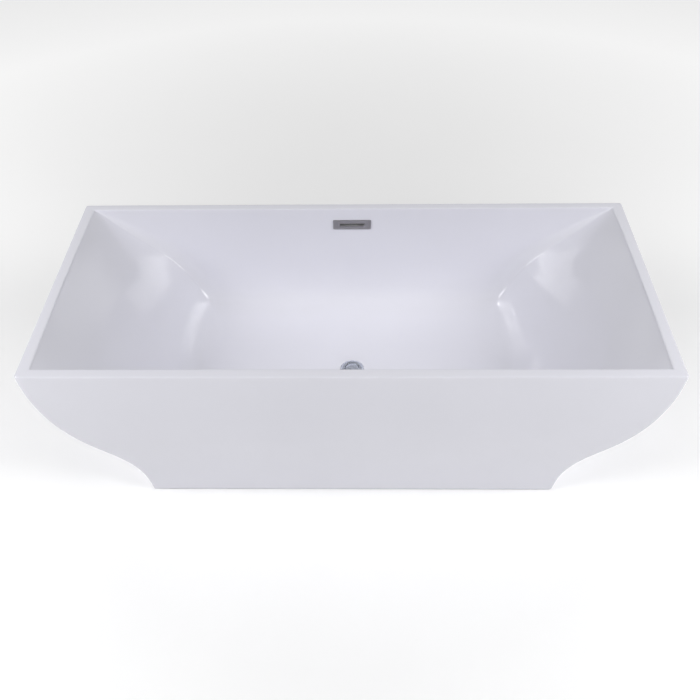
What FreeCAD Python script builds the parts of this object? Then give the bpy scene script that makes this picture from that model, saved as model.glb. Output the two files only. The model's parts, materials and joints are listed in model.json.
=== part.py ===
"""Freestanding double-ended acrylic bathtub, built as an assembly of its real pieces.

Frame: X along the length, Y across (overflow on the +Y long wall), Z up, millimetres.
Origin: centre of the footprint at the level of the floor that the levelling feet stand on.
"""
import FreeCAD, Part
import Sketcher
import math
import os
from FreeCAD import Vector, Rotation, Placement

doc = FreeCAD.newDocument("bathtub")
sheet = doc.addObject("Spreadsheet::Sheet", "Dims")
_row = [0]


def D(alias, value, note=""):
    """Write one driving dimension into the sheet and return its alias."""
    _row[0] += 1
    r = _row[0]
    sheet.set("A%d" % r, note or alias.replace("_", " "))
    sheet.set("B%d" % r, repr(float(value)))
    sheet.setAlias("B%d" % r, alias)
    VAL[alias] = float(value)
    return alias


VAL = {}


def ref(expr):
    """Turn 'alias' names in a formula into sheet references."""
    out, word = "", ""
    for ch in expr + " ":
        if ch.isalnum() or ch == "_":
            word += ch
        else:
            out += ("Dims." + word) if word in VAL else word
            word = ""
            out += ch
    return out.strip()


def num(expr):
    """Value of a formula of numbers, sheet names, + - * / and brackets."""
    toks, word = [], ""
    for ch in expr.replace(" ", "") + "\n":
        if ch.isalnum() or ch in "_.":
            word += ch
        else:
            if word:
                toks.append(VAL[word] if word in VAL else float(word))
                word = ""
            if ch != "\n":
                toks.append(ch)

    def atom(i):
        if toks[i] == "-":
            v, i = atom(i + 1)
            return -v, i
        if toks[i] == "+":
            return atom(i + 1)
        if toks[i] == "(":
            v, i = total(i + 1)
            return v, i + 1
        return toks[i], i + 1

    def product(i):
        v, i = atom(i)
        while i < len(toks) and toks[i] in ("*", "/"):
            w, j = atom(i + 1)
            v, i = (v * w, j) if toks[i] == "*" else (v / w, j)
        return v, i

    def total(i):
        v, i = product(i)
        while i < len(toks) and toks[i] in ("+", "-"):
            w, j = product(i + 1)
            v, i = (v + w, j) if toks[i] == "+" else (v - w, j)
        return v, i

    return total(0)[0]


def bind(obj, **props):
    for name, expr in props.items():
        obj.setExpression(name.replace("__", "."), ref(expr))


# ---------------------------------------------------------------- driving dimensions
D("tub_len", 1700, "overall length")
D("tub_wid", 750, "overall width")
D("tub_high", 580, "overall height")
D("rim_width", 28, "flat width of the rim")
D("rim_thick", 6, "thickness of the rim's top plate")
D("rim_drop", 14, "depth of the rim's outer lip")
D("rim_corner", 8, "plan radius of the rim's corners")
D("rim_edge", 4, "radius of the rim's outer top edge")
D("basin_skin", 5, "thickness of the basin shell")
D("skirt_skin", 5, "thickness of the skirt shell")
D("floor_level", 215, "height of the basin floor")
D("base_half_wid", 315, "half width of the skirt at the floor")
D("base_half_len", 618, "half length of the skirt at the floor")
D("skirt_lift", 3, "gap between the skirt's lower edge and the floor")

# Skirt outer surface: height above the floor, half length. The long sides follow the same curve, scaled.
SKIRT = [(3, 618.0), (28, 620.5), (50, 623.5), (72, 627.5), (96, 634.5), (120, 644.0), (144, 656.0), (168, 670.5),
         (194, 689.0), (221, 711.5), (248, 734.5), (273, 753.5), (297, 770.0), (319, 783.0), (342, 795.5),
         (370, 808.5), (400, 820.2), (437, 831.5), (474, 840.3), (505, 845.6), (537, 848.8), (566, 850.0)]
XT, XB, YT, YB = 850.0, 618.0, 375.0, 315.0
# Basin inner surface: height, half length on the centre line, half width, sagitta of the end curve, corner radius.
BASIN = [
    (215.0, 470.0, 120.0, 47.9, 44.0), (216.0, 482.0, 152.0, 55.3, 46.0), (219.0, 496.0, 192.0, 63.3, 48.0),
    (224.0, 509.0, 226.0, 69.2, 50.0), (231.0, 521.5, 252.0, 71.7, 52.0), (241.0, 534.5, 274.0, 71.6, 54.0),
    (255.0, 549.0, 292.0, 70.1, 57.0), (275.0, 566.0, 306.5, 70.7, 62.0), (300.0, 585.0, 317.0, 75.7, 68.0),
    (342.0, 617.5, 325.6, 84.5, 74.0), (389.0, 655.0, 330.3, 91.0, 77.0), (430.0, 689.5, 333.9, 79.6, 70.0),
    (472.0, 726.5, 337.5, 60.3, 57.0), (510.0, 760.5, 340.9, 40.1, 40.0), (545.0, 791.5, 343.9, 25.8, 24.0),
    (567.0, 811.0, 345.9, 13.3, 13.0), (580.0, 822.5, 347.0, 2.0, 7.0)]


def half_wid(x):
    return YT - (YT - YB) * (XT - x) / (XT - XB)


# ---------------------------------------------------------------- small builders
def new_body(label):
    b = doc.addObject("PartDesign::Body", "Body_" + label)
    b.Label = label
    return b


def origin_plane(body, role):
    return [f for f in body.Origin.OriginFeatures if f.Role == role][0]


def new_sketch(body, name, z_expr="0", role="XY_Plane"):
    sk = body.newObject("Sketcher::SketchObject", name)
    sk.AttachmentSupport = [(origin_plane(body, role), "")]
    sk.MapMode = "FlatFace"
    sk.setExpression("AttachmentOffset.Base.z", ref(z_expr))
    return sk


def named(sk, constraint, name, expr):
    i = sk.addConstraint(constraint)
    sk.renameConstraint(i, name)
    sk.setExpression("Constraints." + name, ref(expr))
    return i


def rounded_rect(sk, hx, hy, r, ex, ey, er, tag=""):
    """Rounded rectangle about the sketch origin; hx, hy, r are start values and ex, ey, er the sheet formulas."""
    V = Vector
    g = len(sk.Geometry)
    a = math.pi / 2
    sk.addGeometry([
        Part.LineSegment(V(-hx + r, -hy, 0), V(hx - r, -hy, 0)),
        Part.ArcOfCircle(Part.Circle(V(hx - r, -hy + r, 0), V(0, 0, 1), r), -a, 0),
        Part.LineSegment(V(hx, -hy + r, 0), V(hx, hy - r, 0)),
        Part.ArcOfCircle(Part.Circle(V(hx - r, hy - r, 0), V(0, 0, 1), r), 0, a),
        Part.LineSegment(V(hx - r, hy, 0), V(-hx + r, hy, 0)),
        Part.ArcOfCircle(Part.Circle(V(-hx + r, hy - r, 0), V(0, 0, 1), r), a, 2 * a),
        Part.LineSegment(V(-hx, hy - r, 0), V(-hx, -hy + r, 0)),
        Part.ArcOfCircle(Part.Circle(V(-hx + r, -hy + r, 0), V(0, 0, 1), r), 2 * a, 3 * a),
    ], False)
    C = Sketcher.Constraint
    for k in range(8):
        sk.addConstraint(C("Tangent", g + k, 2, g + (k + 1) % 8, 1))
    sk.addConstraint([C("Horizontal", g), C("Vertical", g + 2), C("Horizontal", g + 4), C("Vertical", g + 6)])
    sk.addConstraint([C("Equal", g + 1, g + 3), C("Equal", g + 3, g + 5), C("Equal", g + 5, g + 7)])
    named(sk, C("DistanceY", g, 1, -1, 1, hy), "low" + tag, ey)
    named(sk, C("DistanceY", -1, 1, g + 4, 1, hy), "high" + tag, ey)
    named(sk, C("DistanceX", -1, 1, g + 2, 1, hx), "right" + tag, ex)
    named(sk, C("DistanceX", g + 6, 1, -1, 1, hx), "left" + tag, ex)
    named(sk, C("Radius", g + 1, r), "corner" + tag, er)


def bowed_section(sk, a, b, s, r, ea, eb, es, er):
    """Basin section: straight long sides at y = +-b, ends bowed outwards to x = +-a by a sagitta s, corners rounded to r."""
    V = Vector
    R = (b * b + s * s) / (2 * s)
    cx = a - R
    fx = cx + math.sqrt((R - r) ** 2 - (b - r) ** 2)
    th = math.atan2(b - r, fx - cx)
    px, py = cx + R * math.cos(th), R * math.sin(th)
    g = len(sk.Geometry)
    q = math.pi
    sk.addGeometry([
        Part.LineSegment(V(-fx, -b, 0), V(fx, -b, 0)),
        Part.ArcOfCircle(Part.Circle(V(fx, -b + r, 0), V(0, 0, 1), r), -q / 2, -th),
        Part.ArcOfCircle(Part.Circle(V(cx, 0, 0), V(0, 0, 1), R), -th, th),
        Part.ArcOfCircle(Part.Circle(V(fx, b - r, 0), V(0, 0, 1), r), th, q / 2),
        Part.LineSegment(V(fx, b, 0), V(-fx, b, 0)),
        Part.ArcOfCircle(Part.Circle(V(-fx, b - r, 0), V(0, 0, 1), r), q / 2, q - th),
        Part.ArcOfCircle(Part.Circle(V(-cx, 0, 0), V(0, 0, 1), R), q - th, q + th),
        Part.ArcOfCircle(Part.Circle(V(-fx, -b + r, 0), V(0, 0, 1), r), q + th, 3 * q / 2),
    ], False)
    C = Sketcher.Constraint
    for k in range(8):
        sk.addConstraint(C("Tangent", g + k, 2, g + (k + 1) % 8, 1))
    sk.addConstraint([C("Horizontal", g), C("Horizontal", g + 4)])
    sk.addConstraint([C("PointOnObject", g + 2, 3, -1), C("PointOnObject", g + 6, 3, -1)])
    sk.addConstraint([C("Equal", g + 1, g + 3), C("Equal", g + 3, g + 5), C("Equal", g + 5, g + 7), C("Equal", g + 2, g + 6)])
    named(sk, C("DistanceY", g, 1, -1, 1, b), "low", eb)
    named(sk, C("DistanceY", -1, 1, g + 4, 1, b), "high", eb)
    rad = "(%s*%s+%s*%s)/(2*%s)" % (eb, eb, es, es, es)
    named(sk, C("Radius", g + 2, R), "bow", rad)
    named(sk, C("Radius", g + 1, r), "corner", er)
    sign = 1 if cx < 0 else -1
    # the bow's centre lies R - a beyond the tub's centre, or short of it where the bow is tight
    if cx < 0:
        named(sk, C("DistanceX", g + 2, 3, -1, 1, -cx), "seat_right", "%s-%s" % (rad, ea))
        named(sk, C("DistanceX", -1, 1, g + 6, 3, -cx), "seat_left", "%s-%s" % (rad, ea))
    else:
        named(sk, C("DistanceX", -1, 1, g + 2, 3, cx), "seat_right", "%s-%s" % (ea, rad))
        named(sk, C("DistanceX", g + 6, 3, -1, 1, cx), "seat_left", "%s-%s" % (ea, rad))


def loft(body, name, sketches, additive=True):
    kind = "PartDesign::AdditiveLoft" if additive else "PartDesign::SubtractiveLoft"
    f = body.newObject(kind, name)
    f.Profile = sketches[0]
    f.Sections = sketches[1:]
    f.Ruled = False
    f.Closed = False
    for s in sketches:
        s.Visibility = False
    return f


def pad(body, sketch, name, length, reverse=False):
    f = body.newObject("PartDesign::Pad", name)
    f.Profile = sketch
    f.Length = 1
    f.setExpression("Length", ref(length))
    f.Reversed = reverse
    return f


def pocket(body, sketch, name, length, reverse=False):
    f = body.newObject("PartDesign::Pocket", name)
    f.Profile = sketch
    f.Length = 1
    f.setExpression("Length", ref(length))
    f.Reversed = reverse
    return f


def circle(sk, x, y, r, ex, ey, er, tag):
    g = sk.addGeometry(Part.Circle(Vector(x, y, 0), Vector(0, 0, 1), r), False)
    C = Sketcher.Constraint
    if abs(x) < 1e-9:
        sk.addConstraint(C("PointOnObject", g, 3, -2))
    elif x > 0:
        named(sk, C("DistanceX", -1, 1, g, 3, x), "cx" + tag, ex)
    else:
        named(sk, C("DistanceX", g, 3, -1, 1, -x), "cx" + tag, ex)
    if abs(y) < 1e-9:
        sk.addConstraint(C("PointOnObject", g, 3, -1))
    elif y > 0:
        named(sk, C("DistanceY", -1, 1, g, 3, y), "cy" + tag, ey)
    else:
        named(sk, C("DistanceY", g, 3, -1, 1, -y), "cy" + tag, ey)
    named(sk, C("Radius", g, r), "rad" + tag, er)
    return g


def slope(table, i, col):
    """Run over rise of a column at row i."""
    lo, hi = max(i - 1, 0), min(i + 1, len(table) - 1)
    return (table[hi][col] - table[lo][col]) / (table[hi][0] - table[lo][0])


def volume_change(before, feature, sign, what):
    doc.recompute()
    after = feature.Shape.Volume
    if (after - before) * sign <= 1:
        raise SystemExit("%s changed nothing: %.0f to %.0f" % (what, before, after))
    return after


# ---------------------------------------------------------------- skirt (outer shell)
def build_skirt():
    body = new_body("skirt")
    pick = [0, 2, 4, 5, 6, 7, 8, 9, 10, 11, 12, 14, 16, 18, 20, 21]
    outer, inner = [], []
    for n, i in enumerate(pick):
        z, x = SKIRT[i]
        y = half_wid(x)
        az, ax, ay = D("skirt_z_%02d" % n, z), D("skirt_x_%02d" % n, x), D("skirt_y_%02d" % n, y)
        sk = new_sketch(body, "SkirtOut%02d" % n, az)
        rounded_rect(sk, x, y, VAL["rim_corner"], ax, ay, "rim_corner")
        outer.append(sk)
    for n, i in enumerate(pick):
        z, x = SKIRT[i]
        y = half_wid(x)
        k = D("skirt_lean_%02d" % n, math.sqrt(1 + slope(SKIRT, i, 1) ** 2), "skirt slant factor, ends")
        lean_y = slope(SKIRT, i, 1) * (YT - YB) / (XT - XB)
        m = D("skirt_side_lean_%02d" % n, math.sqrt(1 + lean_y ** 2), "skirt slant factor, sides")
        over = {0: "-1", len(pick) - 1: "+1"}.get(n, "")
        sk = new_sketch(body, "SkirtIn%02d" % n, "skirt_z_%02d%s" % (n, over))
        t = VAL["skirt_skin"]
        rounded_rect(sk, x - t * VAL[k], y - t * VAL[m], VAL["rim_corner"] - 4,
                     "skirt_x_%02d-skirt_skin*%s" % (n, k), "skirt_y_%02d-skirt_skin*%s" % (n, m), "rim_corner-4")
        inner.append(sk)
    f = loft(body, "SkirtOuter", outer)
    doc.recompute()
    v = f.Shape.Volume
    g = loft(body, "SkirtHollow", inner, False)
    volume_change(v, g, -1, "skirt hollow")
    return body


# ---------------------------------------------------------------- basin (inner shell with its rim)
def offset_table(col, t):
    """Points of the column's curve (value, height) moved outwards and down by the skin."""
    out = []
    for i in range(len(BASIN)):
        lo, hi = max(i - 1, 0), min(i + 1, len(BASIN) - 1)
        dz, dv = BASIN[hi][0] - BASIN[lo][0], BASIN[hi][col] - BASIN[lo][col]
        n = math.hypot(dz, dv)
        out.append((BASIN[i][col] + t * dz / n, BASIN[i][0] - t * dv / n))
    return out


def at_height(points, z):
    pts = sorted(points, key=lambda p: p[1])
    if z <= pts[0][1]:
        return pts[0][0]
    for (v0, z0), (v1, z1) in zip(pts, pts[1:]):
        if z0 <= z <= z1:
            return v0 + (v1 - v0) * (z - z0) / (z1 - z0)
    return pts[-1][0]


def column_at(col, z):
    for r0, r1 in zip(BASIN, BASIN[1:]):
        if r0[0] <= z <= r1[0]:
            return r0[col] + (r1[col] - r0[col]) * (z - r0[0]) / (r1[0] - r0[0])
    return BASIN[0][col] if z < BASIN[0][0] else BASIN[-1][col]


def build_basin():
    body = new_body("basin")
    t = VAL["basin_skin"]
    # rim: a plate with a lip that drops to the skirt's top edge
    sk = new_sketch(body, "RimPlate", "tub_high-rim_drop")
    rounded_rect(sk, 850, 375, VAL["rim_corner"], "tub_len/2", "tub_wid/2", "rim_corner")
    f = pad(body, sk, "Rim", "rim_drop")
    doc.recompute()
    v = f.Shape.Volume
    sk = new_sketch(body, "RimHollow", "tub_high-rim_drop")
    rounded_rect(sk, 845, 370, VAL["rim_corner"] - 4, "tub_len/2-skirt_skin", "tub_wid/2-skirt_skin", "rim_corner-4")
    f = pocket(body, sk, "RimUnderside", "rim_drop-rim_thick", reverse=True)
    v = volume_change(v, f, -1, "rim underside")
    # outside of the basin shell
    pa, pb = offset_table(1, t), offset_table(2, t)
    heights = [210.0, 212.5, 216.0, 221.0, 228.0, 238.0, 252.0, 272.0, 298.0, 340.0, 388.0, 430.0, 472.0, 510.0, 545.0, 575.0]
    outer = []
    for n, z in enumerate(heights):
        zi = min(max(z + 4.0, 215.0), 580.0) if z < 260 else z
        a, b = at_height(pa, z), at_height(pb, z)
        s, r = column_at(3, zi), column_at(4, zi) + t
        if n == 0:
            a, b = 478.0, 136.0
        s = max(s, 2.0)
        al = [D("shell_%s_%02d" % (c, n), w) for c, w in zip(("z", "a", "b", "bow", "corner"), (z, a, b, s, r))]
        sk = new_sketch(body, "ShellOut%02d" % n, al[0])
        bowed_section(sk, a, b, s, r, *al[1:])
        outer.append(sk)
    f = loft(body, "BasinShell", outer)
    v = volume_change(v, f, 1, "basin shell")
    # the bathing well
    inner = []
    rows = BASIN[:-1] + [BASIN[-1]]
    for n, (z, a, b, s, r) in enumerate(rows):
        al = [D("well_%s_%02d" % (c, n), w) for c, w in zip(("z", "a", "b", "bow", "corner"), (z, a, b, s, r))]
        sk = new_sketch(body, "Well%02d" % n, al[0])
        bowed_section(sk, a, b, s, r, *al[1:])
        inner.append(sk)
    f = loft(body, "Well", inner, False)
    v = volume_change(v, f, -1, "bathing well")
    # waste hole with its recess
    sk = new_sketch(body, "WasteRecessSketch", "floor_level")
    circle(sk, 0, 0, VAL["recess_r"], "0", "0", "recess_r", "a")
    f = pocket(body, sk, "WasteRecess", "recess_deep")
    v = volume_change(v, f, -1, "waste recess")
    sk = new_sketch(body, "WasteHoleSketch", "floor_level")
    circle(sk, 0, 0, VAL["waste_hole_r"], "0", "0", "waste_hole_r", "a")
    f = pocket(body, sk, "WasteHole", "20")
    v = volume_change(v, f, -1, "waste hole")
    # overflow opening through the +Y wall
    sk = new_sketch(body, "OverflowOpeningSketch", "-tub_wid/2+18", "XZ_Plane")
    g = rect(sk, 0, 524, 49.0, 12.0, "49", "12", "overflow_level")
    f = pocket(body, sk, "OverflowOpening", "60", reverse=True)
    v = volume_change(v, f, -1, "overflow opening")
    # rounded rim edges
    edges = []
    for k, e in enumerate(f.Shape.Edges, 1):
        bb = e.BoundBox
        if bb.ZMin > 579.99:
            m = e.valueAt((e.FirstParameter + e.LastParameter) / 2)
            if abs(m.x) > 843 or abs(m.y) > 369:
                edges.append("Edge%d" % k)
    fl = body.newObject("PartDesign::Fillet", "RimOuterEdge")
    fl.Base = (f, edges)
    fl.Radius = VAL["rim_edge"]
    bind(fl, Radius="rim_edge")
    v = volume_change(v, fl, -1, "rim outer edge")
    return body


def rect(sk, cx, cy, hx, hy, ehx, ehy, ecy, tag=""):
    """Rectangle centred on the sketch's Y axis at height cy."""
    V = Vector
    g = len(sk.Geometry)
    P = [V(-hx, cy - hy, 0), V(hx, cy - hy, 0), V(hx, cy + hy, 0), V(-hx, cy + hy, 0)]
    sk.addGeometry([Part.LineSegment(P[k], P[(k + 1) % 4]) for k in range(4)], False)
    C = Sketcher.Constraint
    for k in range(4):
        sk.addConstraint(C("Coincident", g + k, 2, g + (k + 1) % 4, 1))
    sk.addConstraint([C("Horizontal", g), C("Horizontal", g + 2), C("Vertical", g + 1), C("Vertical", g + 3)])
    named(sk, C("DistanceX", -1, 1, g + 1, 1, hx), "right" + tag, ehx)
    named(sk, C("DistanceX", g + 3, 1, -1, 1, hx), "left" + tag, ehx)
    named(sk, C("DistanceY", -1, 1, g, 1, cy - hy), "low" + tag, "%s-%s" % (ecy, ehy))
    named(sk, C("DistanceY", -1, 1, g + 2, 1, cy + hy), "high" + tag, "%s+%s" % (ecy, ehy))
    return g


D("recess_r", 38, "radius of the recess round the waste")
D("recess_deep", 2.5, "depth of that recess")
D("waste_hole_r", 26, "radius of the waste hole")
D("overflow_level", 524, "height of the overflow's centre")



# ---------------------------------------------------------------- general builders
def fix(sk, g, p, ex, ey, tag):
    """Hold a sketch point at two sheet formulas."""
    for axis, e in (("X", ex), ("Y", ey)):
        v = num(e)
        if abs(v) < 1e-9:
            sk.addConstraint(Sketcher.Constraint("PointOnObject", g, p, -2 if axis == "X" else -1))
        elif v > 0:
            named(sk, Sketcher.Constraint("Distance" + axis, -1, 1, g, p, v), "at%s%s" % (axis, tag), e)
        else:
            named(sk, Sketcher.Constraint("Distance" + axis, g, p, -1, 1, -v), "at%s%s" % (axis, tag), "-(%s)" % e)


def poly(sk, pts):
    """Closed polygon whose corners are pairs of sheet formulas."""
    P = [Vector(num(x), num(y), 0) for x, y in pts]
    g, n = len(sk.Geometry), len(pts)
    sk.addGeometry([Part.LineSegment(P[k], P[(k + 1) % n]) for k in range(n)], False)
    for k in range(n):
        sk.addConstraint(Sketcher.Constraint("Coincident", g + k, 2, g + (k + 1) % n, 1))
    for k, (x, y) in enumerate(pts):
        fix(sk, g + k, 1, x, y, "%d" % (g + k))


def box2(sk, x0, y0, x1, y1):
    poly(sk, [(x0, y0), (x1, y0), (x1, y1), (x0, y1)])


def disc(sk, ex, ey, er):
    g = sk.addGeometry(Part.Circle(Vector(num(ex), num(ey), 0), Vector(0, 0, 1), num(er)), False)
    fix(sk, g, 3, ex, ey, "c%d" % g)
    named(sk, Sketcher.Constraint("Radius", g, num(er)), "rad%d" % g, er)


def hexagon(sk, ex, ey, eflat):
    """Hexagon of half width eflat across its flats."""
    r = "(%s)*1.1547005" % eflat
    pts = []
    for k in range(6):
        c, q = math.cos(math.radians(60 * k + 30)), math.sin(math.radians(60 * k + 30))
        pts.append(("(%s)+%s*(%.7f)" % (ex, r, c), "(%s)+%s*(%.7f)" % (ey, r, q)))
    poly(sk, pts)


def turned(label, pts):
    """Solid of revolution about Z from (radius, height) formulas."""
    b = new_body(label)
    sk = new_sketch(b, "Profile_" + label, role="XZ_Plane")
    poly(sk, pts)
    f = b.newObject("PartDesign::Revolution", "Turn_" + label)
    f.Profile = sk
    f.ReferenceAxis = (sk, ["V_Axis"])
    f.Angle = 360
    sk.Visibility = False
    return b


def plate(label, role, offset, length, draw, cuts=()):
    """Pad of a sketch drawn by draw(sk); cuts are (draw, offset, length, plane) pockets that run the same way as a pad."""
    b = new_body(label)
    sk = new_sketch(b, "Outline_" + label, offset, role)
    draw(sk)
    f = pad(b, sk, "Pad_" + label, length)
    for n, (d, off, ln, rl) in enumerate(cuts):
        doc.recompute()
        v = f.Shape.Volume
        c = new_sketch(b, "Cut%d_%s" % (n, label), off, rl)
        d(c)
        f = pocket(b, c, "Pocket%d_%s" % (n, label), ln, reverse=True)
        volume_change(v, f, -1, label)
    return b


def put(body, x="0", y="0", z="0", tilt=0.0):
    body.Placement = Placement(Vector(num(x), num(y), num(z)), Rotation(Vector(1, 0, 0), tilt))
    for axis, e in (("x", x), ("y", y), ("z", z)):
        if e != "0":
            body.setExpression("Placement.Base." + axis, ref(e))
    return body


# ---------------------------------------------------------------- supporting frame and feet
D("board_top", 210, "top of the stiffening board, under the basin floor")
D("board_thick", 18)
D("board_hole_r", 62, "radius of the hole round the waste")
D("tube_side", 30, "side of the square frame tubes")
D("tube_wall", 2)
D("end_bar_x", 440, "distance of the end cross bars from the middle")
D("mid_bar_x", 150, "distance of the middle cross bars from the middle")
D("end_bar_half", 245, "half length of the end cross bars")
D("mid_bar_half", 122, "half length of the middle cross bars")
D("rail_y", 90, "distance of the rails from the middle")
D("rail_half", 470, "half length of the rails")
D("foot_y", 210, "distance of the corner feet from the middle")
D("foot_pad_r", 25, "radius of a foot's pad")
D("foot_pad_high", 18)
D("rod_r", 6, "radius of a foot's threaded rod")
D("rod_gap", 0.05, "running clearance round the rod")
D("rod_low", 8, "lower end of the rod")
D("rod_top", 186, "upper end of the rod")
D("nut_flat", 9.5, "half width of the foot nuts across their flats")
D("weld_nut_high", 10)
D("jam_nut_high", 7)
D("bracket_half", 20, "half width of the skirt brackets")
D("bracket_y", 296, "inner face of the wooden blocks")
D("block_outer_y", 311, "outer face of the wooden blocks")
D("block_low", 50)
D("block_high", 90)
D("screw_r", 2)

BAR_LOW = "board_top-board_thick-tube_side"
BAR_TOP = "board_top-board_thick"
FEET = {"front_left": ("-end_bar_x", "-foot_y"), "front_right": ("end_bar_x", "-foot_y"),
        "back_left": ("-end_bar_x", "foot_y"), "back_right": ("end_bar_x", "foot_y"),
        "middle_left": ("-mid_bar_x", "0"), "middle_right": ("mid_bar_x", "0")}
NODES = []


def frame_parts():
    def board(sk):
        rounded_rect(sk, 450, 126, 30, "board_half_len", "board_half_wid", "30")
        disc(sk, "0", "0", "board_hole_r")
    D("board_half_len", 450)
    D("board_half_wid", 126)
    NODES.append(plate("base_board", "XY_Plane", BAR_TOP, "board_thick", board,
                       [(lambda sk: [disc(sk, "%s*%d" % (a, i), "%d" % j, "screw_r+0.1")
                                     for a, i in (("end_bar_x", -1), ("end_bar_x", 1), ("mid_bar_x", -1), ("mid_bar_x", 1))
                                     for j in (-60, 60)], BAR_TOP, "14", "XY_Plane")]))
    for name, x, half, feet in (("crossbar_left", "-end_bar_x", "end_bar_half", ("-foot_y", "foot_y")),
                                ("crossbar_middle_left", "-mid_bar_x", "mid_bar_half", ("0",)),
                                ("crossbar_middle_right", "mid_bar_x", "mid_bar_half", ("0",)),
                                ("crossbar_right", "end_bar_x", "end_bar_half", ("-foot_y", "foot_y"))):
        def outline(sk, x=x):
            box2(sk, x + "-tube_side/2", BAR_LOW, x + "+tube_side/2", BAR_TOP)
            box2(sk, x + "-tube_side/2+tube_wall", BAR_LOW + "+tube_wall", x + "+tube_side/2-tube_wall", BAR_TOP + "-tube_wall")

        def rod_holes(sk, x=x, feet=feet):
            for y in feet:
                disc(sk, x, y, "rod_r+0.5")

        def screw_holes(sk, x=x):
            for y in ("-60", "60"):
                disc(sk, x, y, "screw_r+0.2")
        NODES.append(plate(name, "XZ_Plane", "-" + half, "2*" + half, outline,
                           [(rod_holes, BAR_LOW + "-1", "6", "XY_Plane"), (screw_holes, BAR_LOW + "-1", "40", "XY_Plane")]))
    for name, s in (("rail_front", "-rail_y"), ("rail_back", "rail_y")):
        def outline(sk, s=s):
            box2(sk, s + "-tube_side/2", BAR_LOW + "-tube_side", s + "+tube_side/2", BAR_LOW)
            box2(sk, s + "-tube_side/2+tube_wall", BAR_LOW + "-tube_side+tube_wall",
                 s + "+tube_side/2-tube_wall", BAR_LOW + "-tube_wall")
        NODES.append(plate(name, "YZ_Plane", "-rail_half", "2*rail_half", outline))
    # screws that hold the cross bars to the board: head under the bar, shank up into the wood
    heads = [("%s*%d" % (a, i), "%d" % j) for a, i in (("end_bar_x", -1), ("end_bar_x", 1), ("mid_bar_x", -1), ("mid_bar_x", 1))
             for j in (-60, 60)]
    b = plate("board_screws", "XY_Plane", BAR_LOW + "-3.5", "3.5", lambda sk: [hexagon(sk, x, y, "4") for x, y in heads])
    sk = new_sketch(b, "Shanks", BAR_LOW + "-1")
    for x, y in heads:
        disc(sk, x, y, "screw_r")
    pad(b, sk, "Shank", "tube_side+13")
    NODES.append(b)
    # brackets from the end bars out to the skirt
    for name, x in (("left", "-end_bar_x"), ("right", "end_bar_x")):
        def prof(sk):
            for q in (1, -1):
                pts = [("205*%d" % q, BAR_TOP), ("205*%d" % q, BAR_TOP + "+3"), ("bracket_y*%d" % q, BAR_TOP + "+3"),
                       ("bracket_y*%d" % q, "block_low"), ("(bracket_y-3)*%d" % q, "block_low"), ("(bracket_y-3)*%d" % q, BAR_TOP)]
                poly(sk, pts)

        def block(sk):
            for q in (1, -1):
                pts = [("bracket_y*%d" % q, "block_low"), ("block_outer_y*%d" % q, "block_low"),
                       ("block_outer_y*%d" % q, "block_high"), ("bracket_y*%d" % q, "block_high")]
                poly(sk, pts)

        def holes(sk, x=x):
            for i in (-10, 10):
                disc(sk, "%s+%d" % (x, i), "(block_low+block_high)/2", "screw_r+0.1")
        NODES.append(plate("skirt_brackets_" + name, "YZ_Plane", x + "-bracket_half", "2*bracket_half", prof,
                           [(holes, "-bracket_y-1", "2*bracket_y+2", "XZ_Plane")]))
        NODES.append(plate("skirt_blocks_" + name, "YZ_Plane", x + "-bracket_half", "2*bracket_half", block,
                           [(holes, "-bracket_y-12", "2*bracket_y+24", "XZ_Plane")]))
    ends = [("%s*%d+%d" % ("end_bar_x", i, j), "(block_low+block_high)/2") for i in (-1, 1) for j in (-10, 10)]
    for name, s in (("front", -1), ("back", 1)):
        b = plate("skirt_screws_" + name, "XZ_Plane", "-(bracket_y-3)" if s > 0 else "(bracket_y-5.5)", "2.5",
                  lambda sk: [hexagon(sk, x, z, "3.5") for x, z in ends])
        sk = new_sketch(b, "Shanks_" + name, "-(bracket_y+10)" if s > 0 else "(bracket_y-5)", "XZ_Plane")
        for x, z in ends:
            disc(sk, x, z, "screw_r")
        pad(b, sk, "Shank_" + name, "15")
        NODES.append(b)
    # nuts welded and jammed under the bars
    for name, top, high in (("foot_weld_nuts", BAR_LOW, "weld_nut_high"), ("foot_jam_nuts", BAR_LOW + "-weld_nut_high", "jam_nut_high")):
        def nuts(sk):
            for x, y in FEET.values():
                hexagon(sk, x, y, "nut_flat")
                disc(sk, x, y, "rod_r+rod_gap")
        NODES.append(plate(name, "XY_Plane", "%s-%s" % (top, high), high, nuts))
    for name, (x, y) in FEET.items():
        b = turned("foot_rod_" + name, [("0", "rod_low"), ("rod_r", "rod_low"), ("rod_r", "foot_pad_high+1"),
                                        ("nut_flat", "foot_pad_high+1"), ("nut_flat", "foot_pad_high+8"), ("rod_r", "foot_pad_high+8"),
                                        ("rod_r", "rod_top-1.5"), ("rod_r-1.5", "rod_top"), ("0", "rod_top")])
        NODES.append(put(b, x, y))
        b = turned("foot_pad_" + name, [("0", "0"), ("foot_pad_r-1", "0"), ("foot_pad_r", "1"), ("foot_pad_r", "6"),
                                        ("foot_pad_r-3", "9"), ("12", "foot_pad_high-3"), ("10.5", "foot_pad_high"),
                                        ("rod_r+rod_gap", "foot_pad_high"), ("rod_r+rod_gap", "rod_low"), ("0", "rod_low")])
        NODES.append(put(b, x, y))


# ---------------------------------------------------------------- waste and plug
D("flange_r", 35.5, "radius of the waste flange")
D("mouth_r", 23.5, "radius of the mouth in the flange")
D("seat_r", 19.5, "radius of the plug's seat")
D("cap_r", 21.6, "radius of the plug's cap")
D("stem_r", 4, "radius of the plug's stem")
D("stem_gap", 0.05, "running clearance round the stem")
D("neck_r", 25.2, "outer radius of the flange's neck")
D("tail_r", 20, "outer radius of the outlet pipe")
D("tail_low", 55, "lower end of the outlet pipe")
D("hose_r", 9.5, "outer radius of the overflow hose")
D("spigot_r", 8, "outer radius of the hose spigots")
D("inlet_level", 176, "height of the overflow inlet in the waste body")


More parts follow.
